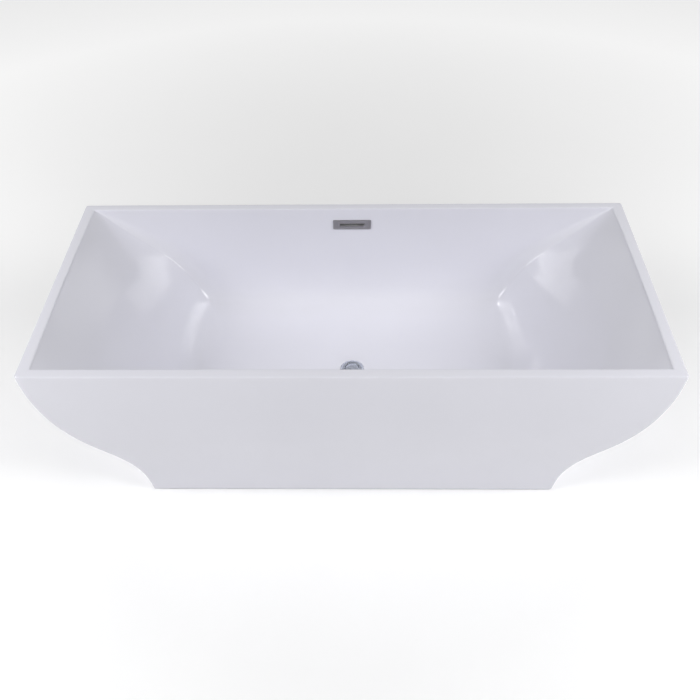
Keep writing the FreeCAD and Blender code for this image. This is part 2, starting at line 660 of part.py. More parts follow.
def waste_parts():
    f = "floor_level"
    NODES.append(turned("drain_gasket_upper", [("26.5", f + "-recess_deep"), ("34.5", f + "-recess_deep"), ("34.5", f + "-1"), ("26.5", f + "-1")]))
    NODES.append(turned("drain_flange", [
        ("seat_r", f + "-12"), ("seat_r", f + "-4.7"), ("mouth_r-0.8", f + "-4.7"), ("mouth_r", f + "-3.9"), ("mouth_r", f + "+0.8"),
        ("mouth_r+1.2", f + "+1.6"), ("mouth_r+6", f + "+2"), ("flange_r-2.5", f + "+1.6"), ("flange_r-0.6", f + "+0.8"),
        ("flange_r", f), ("flange_r", f + "-1"), ("neck_r", f + "-1"), ("neck_r", f + "-29"), ("22", f + "-29"), ("22", f + "-12")]))
    NODES.append(turned("drain_gasket_lower", [("neck_r+0.3", "208"), ("35.5", "208"), ("35.5", "board_top"), ("neck_r+0.3", "board_top")]))
    b = turned("drain_body", [("25.6", "208"), ("36", "208"), ("36", "203"), ("29", "203"), ("29", "160"), ("23.5", "150"),
                              ("23.5", "126"), ("tail_r+0.2", "126"), ("tail_r+0.2", "148"), ("17", "148"), ("17", "152"), ("25.6", "165")])
    sk = new_sketch(b, "InletSketch", "-62", "XZ_Plane")
    disc(sk, "0", "inlet_level", "spigot_r")
    fpad = pad(b, sk, "Inlet", "35")
    doc.recompute()
    v = fpad.Shape.Volume
    sk = new_sketch(b, "InletBoreSketch", "-62", "XZ_Plane")
    disc(sk, "0", "inlet_level", "spigot_r-1.5")
    p = pocket(b, sk, "InletBore", "44", reverse=True)
    volume_change(v, p, -1, "drain inlet bore")
    NODES.append(b)
    NODES.append(turned("compression_washer", [("tail_r+0.1", "121.3"), ("23.4", "121.3"), ("23.4", "126"), ("tail_r+0.1", "126")]))
    NODES.append(turned("compression_nut", [("23.8", "140"), ("28.5", "140"), ("29", "139"), ("29", "117"), ("28.5", "116"),
                                            ("tail_r+0.3", "116"), ("tail_r+0.3", "121.2"), ("23.8", "121.2")]))
    NODES.append(turned("outlet_pipe", [("tail_r-2.5", "147"), ("tail_r", "147"), ("tail_r", "114"), ("tail_r+1.5", "113"), ("tail_r+1.5", "111"),
                                        ("tail_r", "110"), ("tail_r", "tail_low"), ("tail_r-2.5", "tail_low")]))
    # guide that carries the plug's stem: a ring, a hub and three spokes
    b = turned("plug_guide", [("stem_r+stem_gap", "196"), ("8", "196"), ("8", "202"), ("stem_r+stem_gap", "202")])
    sk = new_sketch(b, "SpokeSketch", "197")
    disc(sk, "0", "0", "21.9")
    disc(sk, "0", "0", "19.6")
    pad(b, sk, "GuideRing", "5")
    for k in range(3):
        a = math.radians(90 + 120 * k)
        u, w = (math.cos(a), math.sin(a)), (-math.sin(a), math.cos(a))
        sk = new_sketch(b, "Spoke%dSketch" % k, "198")
        pts = [(7 * u[0] - 1.5 * w[0], 7 * u[1] - 1.5 * w[1]), (20.4 * u[0] - 1.5 * w[0], 20.4 * u[1] - 1.5 * w[1]),
               (20.4 * u[0] + 1.5 * w[0], 20.4 * u[1] + 1.5 * w[1]), (7 * u[0] + 1.5 * w[0], 7 * u[1] + 1.5 * w[1])]
        poly(sk, [("%.6f" % x, "%.6f" % y) for x, y in pts])
        pad(b, sk, "Spoke%d" % k, "3")
    NODES.append(b)
    NODES.append(turned("plug_cap", [("0", f + "-1.8"), ("cap_r-0.8", f + "-1.8"), ("cap_r", f + "-1"), ("cap_r", f + "+1"), ("cap_r-0.9", f + "+2"),
                                     ("cap_r-5", f + "+2.7"), ("cap_r-12", f + "+3.1"), ("0", f + "+3.3")]))
    NODES.append(turned("plug_seal", [("stem_r+0.2", f + "-4.4"), ("cap_r+0.6", f + "-4.4"), ("cap_r+1.2", f + "-3.6"), ("cap_r+0.2", f + "-1.9"), ("stem_r+0.2", f + "-1.9")]))
    NODES.append(turned("plug_stem", [("0", "170"), ("stem_r-1", "170"), ("stem_r", "171"), ("stem_r", f + "-1.9"), ("0", f + "-1.9")]))


# ---------------------------------------------------------------- overflow
D("wall_face_y", 342.05, "the long wall's inner face at the overflow")
D("plate_half_len", 60.5)
D("plate_half_high", 16.5)
D("plate_thick", 2.5)
D("slot_half_len", 38.5)
D("slot_half_high", 4.5)
D("port_half_len", 49)
D("port_half_high", 12)
TILT = -4.9


def overflow_parts():
    at = ("0", "wall_face_y", "overflow_level")

    def outline(sk):
        rounded_rect(sk, 60.5, 16.5, 2.5, "plate_half_len", "plate_half_high", "2.5")
        box2(sk, "-slot_half_len", "-slot_half_high", "slot_half_len", "slot_half_high")
    D("plate_edge", 0.6)
    b = plate("overflow_plate", "XZ_Plane", "0.1", "plate_thick", outline)
    doc.recompute()
    tip = b.Tip
    edges = ["Edge%d" % k for k, e in enumerate(tip.Shape.Edges, 1)
             if e.BoundBox.YMax < -2.5 and (e.BoundBox.XMax > 57 or e.BoundBox.XMin < -57)]
    fl = b.newObject("PartDesign::Fillet", "PlateEdge")
    fl.Base = (tip, edges)
    fl.Radius = 0.6
    bind(fl, Radius="plate_edge")
    NODES.append(put(b, *at, tilt=TILT))

    def sleeve(sk):
        box2(sk, "-port_half_len+2", "-port_half_high+2", "port_half_len-2", "port_half_high-2")
        box2(sk, "-port_half_len+4", "-port_half_high+4", "port_half_len-4", "port_half_high-4")
    NODES.append(put(plate("overflow_sleeve", "XZ_Plane", "-14", "14", sleeve), *at, tilt=TILT))

    def seal(sk):
        box2(sk, "-port_half_len-9", "-port_half_high-5", "port_half_len+9", "port_half_high+5")
        box2(sk, "-port_half_len", "-port_half_high", "port_half_len", "port_half_high")
    NODES.append(put(plate("overflow_gasket", "XZ_Plane", "-6.7", "1.5", seal), *at, tilt=TILT))
    b = plate("overflow_body", "XZ_Plane", "-22", "15.3",
              lambda sk: box2(sk, "-port_half_len-9", "-port_half_high-5", "port_half_len+9", "port_half_high+5"),
              [(lambda sk: box2(sk, "-port_half_len", "-port_half_high", "port_half_len", "port_half_high"), "-20", "14", "XZ_Plane")])
    sk = new_sketch(b, "SpigotSketch", "-port_half_high-26")
    disc(sk, "0", "15.5", "spigot_r")
    fpad = pad(b, sk, "Spigot", "24")
    doc.recompute()
    v = fpad.Shape.Volume
    sk = new_sketch(b, "SpigotBoreSketch", "-port_half_high-26")
    disc(sk, "0", "15.5", "spigot_r-3.5")
    p = pocket(b, sk, "SpigotBore", "30", reverse=True)
    volume_change(v, p, -1, "overflow spigot bore")
    NODES.append(put(b, *at, tilt=TILT))
    # hose from the overflow body down to the waste body: straight runs joined by tangent arcs, in the YZ plane
    a = math.radians(-TILT)
    y0 = VAL["wall_face_y"] + 15.5 * math.cos(a) - 18.5 * math.sin(a)
    z0 = VAL["overflow_level"] - 18.5 * math.cos(a) - 15.5 * math.sin(a)
    k = (z0 - 415.0) / math.cos(a)
    route = [(y0, z0), (y0 - k * math.sin(a), 415.0), (341.2, 330.0), (327.5, 268.0), (285.0, 196.0), (200.0, VAL["inlet_level"]), (42.0, VAL["inlet_level"])]
    for n, (y, z) in enumerate(route):
        D("hose_y_%d" % n, y)
        D("hose_z_%d" % n, z)
    b = new_body("overflow_hose")
    path = new_sketch(b, "HoseRoute", role="YZ_Plane")
    P = [Vector(y, z, 0) for y, z in route]
    runs = [(P[i + 1] - P[i]).Length for i in range(len(P) - 1)]
    geo, cur, radii, length = [], P[0], [], 0.0
    for i in range(1, len(P) - 1):
        d0, d1 = (P[i] - P[i - 1]).normalize(), (P[i + 1] - P[i]).normalize()
        turn = d0.getAngle(d1)
        cut = 0.45 * min(runs[i - 1], runs[i])
        r = cut / math.tan(turn / 2)
        radii.append(round(r))
        s0, s1 = P[i] - d0 * cut, P[i] + d1 * cut
        mid = P[i] + (d1 - d0).normalize() * (r / math.cos(turn / 2) - r)
        geo.append(Part.LineSegment(cur, s0))
        geo.append(Part.Arc(s0, mid, s1))
        length += (s0 - cur).Length + r * turn
        cur = s1
    geo.append(Part.LineSegment(cur, P[-1]))
    length += (P[-1] - cur).Length
    path.addGeometry(geo, False)
    for g in range(len(geo)):
        path.addConstraint(Sketcher.Constraint("Block", g))
    print("hose bend radii", radii, "length", round(length, 1))
    prof = b.newObject("Sketcher::SketchObject", "HoseSection")
    prof.AttachmentSupport = [(origin_plane(b, "XY_Plane"), "")]
    prof.MapMode = "FlatFace"
    prof.AttachmentOffset = Placement(Vector(0, y0, z0), Rotation(Vector(1, 0, 0), TILT))
    disc(prof, "0", "0", "hose_r")
    disc(prof, "0", "0", "spigot_r+0.05")
    f = b.newObject("PartDesign::AdditivePipe", "Hose")
    f.Profile = prof
    f.Spine = path
    path.Visibility = prof.Visibility = False
    doc.recompute()
    want = length * math.pi * (VAL["hose_r"] ** 2 - (VAL["spigot_r"] + 0.05) ** 2)
    print("hose volume", round(f.Shape.Volume), "expected", round(want))
    NODES.append(b)
    NODES.append(put(plate("hose_clamp_upper", "XY_Plane", "-36", "7",
                           lambda sk: (disc(sk, "0", "15.5", "hose_r+0.75"), disc(sk, "0", "15.5", "hose_r+0.1"))), *at, tilt=TILT))
    NODES.append(plate("hose_clamp_lower", "XZ_Plane", "-58", "8",
                       lambda sk: (disc(sk, "0", "inlet_level", "hose_r+1"), disc(sk, "0", "inlet_level", "hose_r+0.1"))))


# ---------------------------------------------------------------- build, test and write
NODES.append(build_skirt())
NODES.append(build_basin())
frame_parts()
waste_parts()
overflow_parts()
doc.recompute()
bad = [o.Label for o in doc.Objects if "Invalid" in o.State or "Error" in o.State]
if bad:
    raise SystemExit("failed objects: %s" % bad)
os.makedirs("parts", exist_ok=True)
for body in NODES:
    shape = body.Shape
    if shape.isNull() or not shape.isValid() or not shape.Solids:
        raise SystemExit("bad shape: %s" % body.Label)
for body in NODES:
    body.Shape.exportStep("parts/%s.step" % body.Label)
    bb = body.Shape.BoundBox
    print("%-26s solids %2d  x %.1f..%.1f  y %.1f..%.1f  z %.1f..%.1f" % (
        body.Label, len(body.Shape.Solids), bb.XMin, bb.XMax, bb.YMin, bb.YMax, bb.ZMin, bb.ZMax))
print(len(NODES), "nodes")
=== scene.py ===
import bpy
import bmesh
import json
import math
import numpy as np
from mathutils import Matrix, Vector


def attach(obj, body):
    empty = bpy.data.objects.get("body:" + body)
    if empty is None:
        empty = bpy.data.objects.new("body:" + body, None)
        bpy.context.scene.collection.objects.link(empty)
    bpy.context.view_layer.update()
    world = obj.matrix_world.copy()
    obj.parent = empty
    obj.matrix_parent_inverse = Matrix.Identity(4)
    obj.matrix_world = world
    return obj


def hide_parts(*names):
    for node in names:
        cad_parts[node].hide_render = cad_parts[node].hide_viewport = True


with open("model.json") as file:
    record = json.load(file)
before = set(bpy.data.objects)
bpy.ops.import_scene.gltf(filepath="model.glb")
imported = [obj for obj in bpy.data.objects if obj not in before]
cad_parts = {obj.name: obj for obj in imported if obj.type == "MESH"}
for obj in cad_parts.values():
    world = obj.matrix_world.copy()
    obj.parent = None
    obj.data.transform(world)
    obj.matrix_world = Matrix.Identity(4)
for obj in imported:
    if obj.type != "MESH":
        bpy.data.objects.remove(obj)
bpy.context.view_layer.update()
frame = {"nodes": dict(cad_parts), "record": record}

MM = 0.001
scene = bpy.context.scene
scene.view_settings.view_transform = "Standard"
scene.view_settings.look = "None"
scene.view_settings.exposure = 0.0
scene.view_settings.gamma = 1.0


# ------------------------------------------------------------------ curves through tables
def spline(xs, ys, x):
    """Natural cubic spline through (xs, ys), read at x."""
    xs, ys, x = np.asarray(xs, float), np.asarray(ys, float), np.asarray(x, float)
    n = len(xs)
    h = np.diff(xs)
    A = np.zeros((n, n))
    b = np.zeros(n)
    A[0, 0] = A[-1, -1] = 1
    for i in range(1, n - 1):
        A[i, i - 1], A[i, i], A[i, i + 1] = h[i - 1], 2 * (h[i - 1] + h[i]), h[i]
        b[i] = 6 * ((ys[i + 1] - ys[i]) / h[i] - (ys[i] - ys[i - 1]) / h[i - 1])
    m = np.linalg.solve(A, b)
    k = np.clip(np.searchsorted(xs, x) - 1, 0, n - 2)
    t0, t1, hk = x - xs[k], xs[k + 1] - x, h[k]
    return (m[k] * t1 ** 3 + m[k + 1] * t0 ** 3) / (6 * hk) + (ys[k] / hk - m[k] * hk / 6) * t1 + (ys[k + 1] / hk - m[k + 1] * hk / 6) * t0


def relax(v, passes):
    """Evens out a sampled curve and keeps its two ends."""
    v = np.array(v, float)
    for _ in range(passes):
        w = v.copy()
        w[1:-1] = 0.5 * v[1:-1] + 0.25 * (v[:-2] + v[2:])
        w[0], w[-1] = v[0], v[-1]
        v = w
    return v


def rounded_section(a, b, s, r, K, M, L):
    """Outline with straight long sides at +-b, ends bowed by s to +-a, corner radius r. Starts at (0, -b), runs towards +X."""
    s = max(s, 1e-4)
    R = (b * b + s * s) / (2 * s)
    cx = a - R
    fx = cx + math.sqrt(max((R - r) ** 2 - (b - r) ** 2, 0.0))
    th = math.atan2(b - r, fx - cx)
    q = []
    for i in range(K):
        q.append((fx * i / K, -b))
    for i in range(M):
        w = -math.pi / 2 + (math.pi / 2 - th) * i / M
        q.append((fx + r * math.cos(w), -b + r + r * math.sin(w)))
    for i in range(L):
        w = -th + th * i / L
        q.append((cx + R * math.cos(w), R * math.sin(w)))
    q = np.array(q)
    mid = np.array([[a, 0.0]])
    top = np.array([[0.0, b]])
    half = np.vstack([q, mid, (q * [1, -1])[::-1][:-1]])            # from (0,-b) by +X, up to just short of (0,b)
    left = (half * [-1, -1])                                        # from (0,b) by -X, down to just short of (0,-b)
    return np.vstack([half, top, left[1:]])


def grid_mesh(name, loops, wrap_rows=True):
    """Quads through rings of equal length; wrap_rows also joins the last ring to the first."""
    P = np.array(loops)
    rows, n, _ = P.shape
    verts = P.reshape(-1, 3) * MM
    idx = np.arange(rows * n).reshape(rows, n)
    nxt_r = np.roll(idx, -1, axis=0) if wrap_rows else idx[1:]
    cur = idx if wrap_rows else idx[:-1]
    nxt = np.roll(cur, -1, axis=1)
    nn = np.roll(nxt_r, -1, axis=1)
    faces = np.stack([cur, nxt, nn, nxt_r], axis=-1).reshape(-1, 4)
    me = bpy.data.meshes.new(name)
    me.from_pydata(verts.tolist(), [], faces.tolist())
    me.update()
    o = bpy.data.objects.new(name, me)
    scene.collection.objects.link(o)
    return o


def outward(o):
    """Points every face out of its closed solid, shades smoothly."""
    bm = bmesh.new()
    bm.from_mesh(o.data)
    bmesh.ops.recalc_face_normals(bm, faces=bm.faces)
    if bm.calc_volume(signed=True) < 0:
        bmesh.ops.reverse_faces(bm, faces=bm.faces)
    bm.to_mesh(o.data)
    bm.free()
    for p in o.data.polygons:
        p.use_smooth = True
    return o


def sharp(o, degrees):
    """Keeps edges above the angle crisp."""
    bm = bmesh.new()
    bm.from_mesh(o.data)
    lim = math.radians(degrees)
    for e in bm.edges:
        if len(e.link_faces) == 2 and e.calc_face_angle(0.0) > lim:
            e.smooth = False
    bm.to_mesh(o.data)
    bm.free()
    return o


# ------------------------------------------------------------------ node materials
def material(name, base, rough, metallic=0.0, ior=1.5, coat=0.0, coat_rough=0.03):
    m = bpy.data.materials.new(name)
    m.use_nodes = True
    nt = m.node_tree
    p = nt.nodes["Principled BSDF"]
    p.inputs["Base Color"].default_value = (*base, 1)
    p.inputs["Roughness"].default_value = rough
    p.inputs["Metallic"].default_value = metallic
    p.inputs["IOR"].default_value = ior
    p.inputs["Coat Weight"].default_value = coat
    p.inputs["Coat Roughness"].default_value = coat_rough
    return m, nt, p


def node(nt, kind, **inputs):
    n = nt.nodes.new(kind)
    for k, v in inputs.items():
        n.inputs[k.replace("_", " ")].default_value = v
    return n


def coords(nt, scale=(1, 1, 1)):
    t = nt.nodes.new("ShaderNodeTexCoord")
    mp = nt.nodes.new("ShaderNodeMapping")
    mp.inputs["Scale"].default_value = scale
    nt.links.new(t.outputs["Object"], mp.inputs["Vector"])
    return mp.outputs["Vector"]


def ramp(nt, fac, stops):
    r = nt.nodes.new("ShaderNodeValToRGB")
    el = r.color_ramp.elements
    el[0].position, el[0].color = stops[0][0], (*stops[0][1], 1)
    el[1].position, el[1].color = stops[-1][0], (*stops[-1][1], 1)
    for pos, col in stops[1:-1]:
        e = el.new(pos)
        e.color = (*col, 1)
    nt.links.new(fac, r.inputs["Fac"])
    return r.outputs["Color"]


def remap(nt, value, lo, hi):
    r = nt.nodes.new("ShaderNodeMapRange")
    r.inputs["To Min"].default_value = lo
    r.inputs["To Max"].default_value = hi
    nt.links.new(value, r.inputs["Value"])
    return r.outputs["Result"]


def noise(nt, vec, scale, detail=3.0, rough=0.5):
    n = node(nt, "ShaderNodeTexNoise", Scale=scale, Detail=detail, Roughness=rough)
    nt.links.new(vec, n.inputs["Vector"])
    return n.outputs["Fac"]


def bump(nt, p, height, strength, distance):
    b = node(nt, "ShaderNodeBump", Strength=strength, Distance=distance)
    nt.links.new(height, b.inputs["Height"])
    nt.links.new(b.outputs["Normal"], p.inputs["Normal"])
    return b


ACRYLIC_LOW = (0.772, 0.771, 0.835)
ACRYLIC_HIGH = (0.79, 0.789, 0.853)


def acrylic():
    m, nt, p = material("white_acrylic", (0.80, 0.80, 0.84), 0.07, ior=1.49)
    v = coords(nt)
    cloud = noise(nt, v, 2.2, 2.0)
    nt.links.new(ramp(nt, cloud, [(0.3, ACRYLIC_LOW), (0.7, ACRYLIC_HIGH)]), p.inputs["Base Color"])
    nt.links.new(remap(nt, noise(nt, v, 9.0, 4.0, 0.6), 0.045, 0.10), p.inputs["Roughness"])
    # faint unevenness that vacuum forming leaves in the sheet
    bump(nt, p, noise(nt, v, 5.0, 1.0), 0.12, 0.0012)
    return m



def brushed(name, base, rough, along=(4, 400, 400), grain=0.10):
    m, nt, p = material(name, base, rough, metallic=1.0)
    v = coords(nt, along)
    f = noise(nt, v, 8.0, 5.0, 0.65)
    lo, hi = tuple(c * 0.88 for c in base), tuple(min(1, c * 1.1) for c in base)
    nt.links.new(ramp(nt, f, [(0.3, lo), (0.7, hi)]), p.inputs["Base Color"])
    nt.links.new(remap(nt, f, rough - grain / 2, rough + grain / 2), p.inputs["Roughness"])
    bump(nt, p, f, 0.15, 0.00008)
    return m


def polished(name, base, rough):
    m, nt, p = material(name, base, rough, metallic=1.0)
    v = coords(nt)
    f = noise(nt, v, 60.0, 4.0, 0.6)
    nt.links.new(ramp(nt, f, [(0.3, tuple(c * 0.95 for c in base)), (0.7, base)]), p.inputs["Base Color"])
    nt.links.new(remap(nt, noise(nt, v, 220.0, 5.0, 0.7), rough * 0.6, rough * 1.6), p.inputs["Roughness"])
    bump(nt, p, noise(nt, v, 400.0, 2.0), 0.05, 0.00002)
    return m


def grainy(name, base, rough, scale, spread=0.12, depth=0.00012, metallic=0.0, coat=0.0):
    m, nt, p = material(name, base, rough, metallic=metallic, coat=coat)
    v = coords(nt)
    f = noise(nt, v, scale, 5.0, 0.6)
    big = noise(nt, v, scale / 12, 2.0)
    mix = nt.nodes.new("ShaderNodeMath")
    mix.operation = "ADD"
    nt.links.new(f, mix.inputs[0])
    nt.links.new(big, mix.inputs[1])
    half = nt.nodes.new("ShaderNodeMath")
    half.operation = "MULTIPLY"
    half.inputs[1].default_value = 0.5
    nt.links.new(mix.outputs[0], half.inputs[0])
    lo, hi = tuple(c * (1 - spread) for c in base), tuple(min(1, c * (1 + spread)) for c in base)
    nt.links.new(ramp(nt, half.outputs[0], [(0.35, lo), (0.65, hi)]), p.inputs["Base Color"])
    nt.links.new(remap(nt, f, max(rough - 0.08, 0.05), min(rough + 0.08, 1)), p.inputs["Roughness"])
    bump(nt, p, f, 0.35, depth)
    return m


def plywood():
    m, nt, p = material("plywood", (0.60, 0.44, 0.27), 0.62)
    v = coords(nt, (1.2, 14, 30))
    f = noise(nt, v, 6.0, 6.0, 0.62)
    ply = nt.nodes.new("ShaderNodeTexWave")
    ply.bands_direction = "Z"
    ply.inputs["Scale"].default_value = 95.0
    ply.inputs["Distortion"].default_value = 0.4
    nt.links.new(coords(nt), ply.inputs["Vector"])
    grain = ramp(nt, f, [(0.25, (0.42, 0.28, 0.15)), (0.5, (0.60, 0.43, 0.26)), (0.75, (0.72, 0.55, 0.36))])
    layers = ramp(nt, ply.outputs["Fac"], [(0.2, (0.75, 0.72, 0.70)), (0.8, (1.0, 1.0, 1.0))])
    mx = nt.nodes.new("ShaderNodeMix")
    mx.data_type = "RGBA"
    mx.blend_type = "MULTIPLY"
    mx.inputs["Factor"].default_value = 0.6
    nt.links.new(grain, mx.inputs[6])
    nt.links.new(layers, mx.inputs[7])
    nt.links.new(mx.outputs[2], p.inputs["Base Color"])
    bump(nt, p, f, 0.4, 0.0003)
    return m


MAT = {
    "white_acrylic": acrylic(),
    "plywood": plywood(),
    "painted_steel": grainy("painted_steel", (0.035, 0.036, 0.04), 0.42, 900.0, 0.25, 0.0001),
    "zinc_steel": brushed("zinc_steel", (0.58, 0.60, 0.63), 0.36, (60, 60, 60), 0.16),
    "black_rubber": grainy("black_rubber", (0.028, 0.028, 0.03), 0.72, 1200.0, 0.3, 0.00012),
    "chrome": polished("chrome", (0.76, 0.80, 0.88), 0.26),
    "satin_chrome": brushed("satin_chrome", (0.45, 0.435, 0.45), 0.38, (6, 500, 500), 0.10),
    "grey_plastic": grainy("grey_plastic", (0.62, 0.62, 0.63), 0.36, 1500.0, 0.1, 0.00005),
    "fitting_plastic": grainy("fitting_plastic", (0.74, 0.74, 0.72), 0.48, 1100.0, 0.05, 0.00006),
    "hose_plastic": grainy("hose_plastic", (0.62, 0.64, 0.65), 0.40, 900.0, 0.08, 0.00006),
    "brass": brushed("brass", (0.70, 0.52, 0.22), 0.30, (80, 80, 80), 0.14),
}
SLOT = {s["node"]: s["material_slot"] for s in frame["record"]["subparts"]}
for name, o in frame["nodes"].items():
    mat = MAT[SLOT[name]]
    if not o.material_slots:
        o.data.materials.append(mat)
    for ms in o.material_slots:
        ms.material = mat


def finish_piece(o, slot, body, *nodes, mat=None):
    o.data.materials.clear()
    o.data.materials.append(mat or MAT[slot])
    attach(o, body)
    if nodes:
        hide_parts(*nodes)
    return o


# ------------------------------------------------------------------ basin
# height, half length on the centre line, half width, crease point, its distance in from the long side, crease radius
BASIN = np.array([
    (215.0, 470.0, 120.0, 424.0, 2.0, 60.0), (216.0, 482.0, 152.0, 430.0, 4.0, 58.0), (219.0, 496.0, 192.0, 437.0, 6.0, 55.0),
    (224.0, 509.0, 226.0, 446.0, 9.5, 50.0), (231.0, 521.5, 252.0, 457.0, 12.0, 44.0), (241.0, 534.5, 274.0, 471.0, 15.0, 36.0),
    (255.0, 549.0, 292.0, 487.0, 16.5, 28.0), (275.0, 566.0, 306.5, 504.0, 18.5, 21.0), (300.0, 585.0, 317.0, 519.0, 20.0, 16.0),
    (342.0, 617.5, 325.6, 544.0, 20.6, 12.0), (389.0, 655.0, 330.3, 576.0, 21.0, 10.0), (430.0, 689.5, 333.9, 620.0, 20.8, 10.0),
    (472.0, 726.5, 337.5, 673.0, 19.0, 10.0), (510.0, 760.5, 340.9, 724.0, 15.5, 10.0), (545.0, 791.5, 343.9, 767.0, 9.0, 9.0),
    (567.0, 811.0, 345.9, 798.0, 3.5, 7.0), (580.0, 822.5, 347.0, 820.5, 1.0, 5.0)])
K, M, L = 44, 16, 18


BLEND = math.radians(37.0)


def mirror_quarter(q, a, b):
    """Whole outline from the points of its first quarter, which starts at (0, -b) and stops short of (a, 0)."""
    half = np.vstack([q, [[a, 0.0]], (q * [1, -1])[::-1][:-1]])
    return np.vstack([half, [[0.0, b]], (half * [-1, -1])[1:]])


def well_section(a, b, xc, d, r):
    """Long sides at +-b that turn in along an arc to a crease at (xc, b - d), where the bowed end begins; crease radius r."""
    yc = b - d
    R = (yc * yc + (a - xc) ** 2) / (2 * (a - xc))
    cx = a - R
    R2 = d / (1 - math.cos(BLEND))
    xs = xc - R2 * math.sin(BLEND)
    al = math.asin(min(1.0, yc / R))
    t1, t2 = (math.cos(BLEND), math.sin(BLEND)), (math.sin(al), math.cos(al))
    turn = math.acos(min(1.0, t1[0] * t2[0] + t1[1] * t2[1]))
    cut = min(r * math.tan(turn / 2), 0.45 * R2 * BLEND, 0.30 * R * al)
    q = [(xs * i / K, -b) for i in range(K)]
    m2 = M - 7
    stop = BLEND - cut / R2
    for i in range(m2):
        w = stop * i / m2
        q.append((xs + R2 * math.sin(w), -b + R2 * (1 - math.cos(w))))
    p0 = np.array((xs + R2 * math.sin(stop), -b + R2 * (1 - math.cos(stop))))
    a0 = -al + cut / R
    p2 = np.array((cx + R * math.cos(a0), R * math.sin(a0)))
    p1 = np.array((xc, -yc))
    for i in range(7):
        t = i / 7.0
        q.append(tuple(p0 * (1 - t) ** 2 + 2 * p1 * t * (1 - t) + p2 * t * t))
    for i in range(L):
        w = a0 * (1 - i / L)
        q.append((cx + R * math.cos(w), R * math.sin(w)))
    return mirror_quarter(np.array(q), a, b)


def ring(a, b, s, r, z):
    q = rounded_section(a, b, s, r, K, M, L)
    return np.column_stack([q, np.full(len(q), float(z))])


def well_ring(row):
    q = well_section(*row[1:])
    return np.column_stack([q, np.full(len(q), float(row[0]))])


def well_rows(per=9, passes=60):
    t = np.concatenate([[0], np.cumsum(np.hypot(np.diff(BASIN[:, 0]) * 1.0, np.diff(BASIN[:, 1] + BASIN[:, 2]) * 0.6))])
    u = np.concatenate([np.linspace(t[i], t[i + 1], per, endpoint=False) for i in range(len(t) - 1)] + [[t[-1]]])
    cols = [relax(spline(t, BASIN[:, c], u), passes) for c in range(6)]
    return np.array(cols).T


def circle_ring(like, r, z):
    d = like[:, :2] / np.linalg.norm(like[:, :2], axis=1)[:, None]
    return np.column_stack([d * r, np.full(len(d), float(z))])


